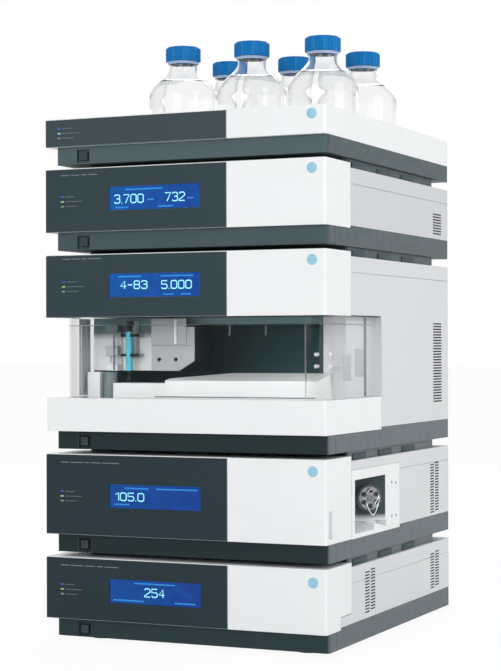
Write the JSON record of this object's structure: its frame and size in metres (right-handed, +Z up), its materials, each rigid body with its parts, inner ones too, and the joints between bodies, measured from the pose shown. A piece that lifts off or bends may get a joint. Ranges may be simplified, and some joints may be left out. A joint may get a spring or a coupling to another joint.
{
  "type": "hplc system",
  "caption": "Bench-top stack of five instrument modules with hinged doors, a sliding sampler window and an open tray of solvent bottles on top.",
  "frame": {"origin": "middle of the stack's footprint, on the bench under the rubber feet", "axes": "+Z up, the front panels face -Y, +X to the right seen from the front"},
  "size_m": [0.42, 0.51, 0.8519],
  "materials": {
    "dark_base": "fine matt texture",
    "white_panel": "satin",
    "cover_grey": "fine satin paint",
    "dark_fascia": "satin",
    "display_blue": "glossy, lit",
    "button_dark": "satin",
    "bottle_glass": "clear",
    "cap_blue": "satin",
    "ring_blue": "satin",
    "steel": "fine turned",
    "knob_black": "satin",
    "clear_window": "clear, polished",
    "liner_dark": "matt",
    "unit_grey": "satin",
    "deck_white": "satin",
    "syringe_teal": "clear, tinted",
    "port_grey": "satin",
    "foot_rubber": "matt"
  },
  "bodies": {
    "stack": {"rack_base": "dark_base", "rack_tray": "white_panel", "rack_fascia": "dark_fascia", "pouring_rings": "ring_blue", "pump_base": "dark_base", "pump_housing": "cover_grey", "pump_heads": "steel", "sampler_base": "dark_base", "sampler_housing": "cover_grey", "sampler_crown": "white_panel", "sampler_fascia": "dark_fascia", "sampler_display": "display_blue", "sampler_cover": "white_panel", "chamber_liner": "liner_dark", "needle_panel": "deck_white", "valve_cover": "unit_grey", "sample_deck": "deck_white", "syringe_mount": "knob_black", "syringe_barrel": "syringe_teal", "wash_port": "port_grey", "oven_base": "dark_base", "oven_housing": "cover_grey", "valve_bezel": "white_panel", "valve_stator": "steel", "column": "steel", "detector_base": "dark_base", "detector_housing": "cover_grey", "flow_cell": "steel", "rubber_feet": "foot_rubber", "solvent_bottle_a": "bottle_glass", "solvent_bottle_b": "bottle_glass", "solvent_bottle_c": "bottle_glass", "solvent_bottle_d": "bottle_glass", "solvent_bottle_e": "bottle_glass", "solvent_bottle_f": "bottle_glass"},
    "pump_door": {"pump_door": "white_panel", "pump_fascia": "dark_fascia", "pump_display": "display_blue"},
    "oven_door": {"oven_door": "white_panel", "oven_fascia": "dark_fascia", "oven_display": "display_blue"},
    "detector_door": {"detector_door": "white_panel", "detector_fascia": "dark_fascia", "detector_display": "display_blue"},
    "sampler_window": {"sampler_window": "clear_window"},
    "carousel": {"carousel": "liner_dark"},
    "needle_arm": {"needle_arm": "knob_black"},
    "syringe_plunger": {"syringe_plunger": "steel"},
    "purge_knob": {"purge_knob": "knob_black"},
    "detector_button": {"detector_button": "button_dark"},
    "oven_button": {"oven_button": "button_dark"},
    "sampler_button": {"sampler_button": "button_dark"},
    "pump_button": {"pump_button": "button_dark"},
    "rack_button": {"rack_button": "button_dark"},
    "bottle_cap_a": {"bottle_cap_a": "cap_blue"},
    "bottle_cap_b": {"bottle_cap_b": "cap_blue"},
    "bottle_cap_c": {"bottle_cap_c": "cap_blue"},
    "bottle_cap_d": {"bottle_cap_d": "cap_blue"},
    "bottle_cap_e": {"bottle_cap_e": "cap_blue"},
    "bottle_cap_f": {"bottle_cap_f": "cap_blue"}
  },
  "joints": [
    {"name": "detector_door_hinge", "type": "hinge", "parent": "stack", "child": "detector_door", "pos_m": [-0.2045, -0.169, 0.0738], "axis": [0, 0, -1], "range_deg": [0, 110]},
    {"name": "oven_door_hinge", "type": "hinge", "parent": "stack", "child": "oven_door", "pos_m": [-0.2045, -0.169, 0.2036], "axis": [0, 0, -1], "range_deg": [0, 110]},
    {"name": "pump_door_hinge", "type": "hinge", "parent": "stack", "child": "pump_door", "pos_m": [-0.2045, -0.169, 0.61045], "axis": [0, 0, -1], "range_deg": [0, 110]},
    {"name": "window_slide", "type": "slide", "parent": "stack", "child": "sampler_window", "axis": [0, 0, 1], "range_m": [0, 0.072]},
    {"name": "carousel_turn", "type": "hinge", "parent": "stack", "child": "carousel", "pos_m": [0.048, -0.01, 0.345], "axis": [0, 0, 1], "continuous": true},
    {"name": "needle_lift", "type": "slide", "parent": "stack", "child": "needle_arm", "axis": [0, 0, 1], "range_m": [0, 0.02]},
    {"name": "plunger_slide", "type": "slide", "parent": "stack", "child": "syringe_plunger", "axis": [0, 0, 1], "range_m": [0, 0.01]},
    {"name": "purge_knob_turn", "type": "hinge", "parent": "stack", "child": "purge_knob", "pos_m": [0, -0.185, 0.60868], "axis": [0, -1, 0], "range_deg": [0, 180]},
    {"name": "detector_button_press", "type": "slide", "parent": "stack", "child": "detector_button", "axis": [0, 1, 0], "range_m": [0, 0.002], "stiffness_N_per_m": 400, "springref_m": -0.001},
    {"name": "oven_button_press", "type": "slide", "parent": "stack", "child": "oven_button", "axis": [0, 1, 0], "range_m": [0, 0.002], "stiffness_N_per_m": 400, "springref_m": -0.001},
    {"name": "sampler_button_press", "type": "slide", "parent": "stack", "child": "sampler_button", "axis": [0, 1, 0], "range_m": [0, 0.002], "stiffness_N_per_m": 400, "springref_m": -0.001},
    {"name": "pump_button_press", "type": "slide", "parent": "stack", "child": "pump_button", "axis": [0, 1, 0], "range_m": [0, 0.002], "stiffness_N_per_m": 400, "springref_m": -0.001},
    {"name": "rack_button_press", "type": "slide", "parent": "stack", "child": "rack_button", "axis": [0, 1, 0], "range_m": [0, 0.002], "stiffness_N_per_m": 400, "springref_m": -0.001},
    {"name": "cap_a_lift", "type": "slide", "parent": "stack", "child": "bottle_cap_a", "axis": [0, 0, 1], "range_m": [0, 0.04]},
    {"name": "cap_b_lift", "type": "slide", "parent": "stack", "child": "bottle_cap_b", "axis": [0, 0, 1], "range_m": [0, 0.04]},
    {"name": "cap_c_lift", "type": "slide", "parent": "stack", "child": "bottle_cap_c", "axis": [0, 0, 1], "range_m": [0, 0.04]},
    {"name": "cap_d_lift", "type": "slide", "parent": "stack", "child": "bottle_cap_d", "axis": [0, 0, 1], "range_m": [0, 0.04]},
    {"name": "cap_e_lift", "type": "slide", "parent": "stack", "child": "bottle_cap_e", "axis": [0, 0, 1], "range_m": [0, 0.04]},
    {"name": "cap_f_lift", "type": "slide", "parent": "stack", "child": "bottle_cap_f", "axis": [0, 0, 1], "range_m": [0, 0.04]}
  ]
}
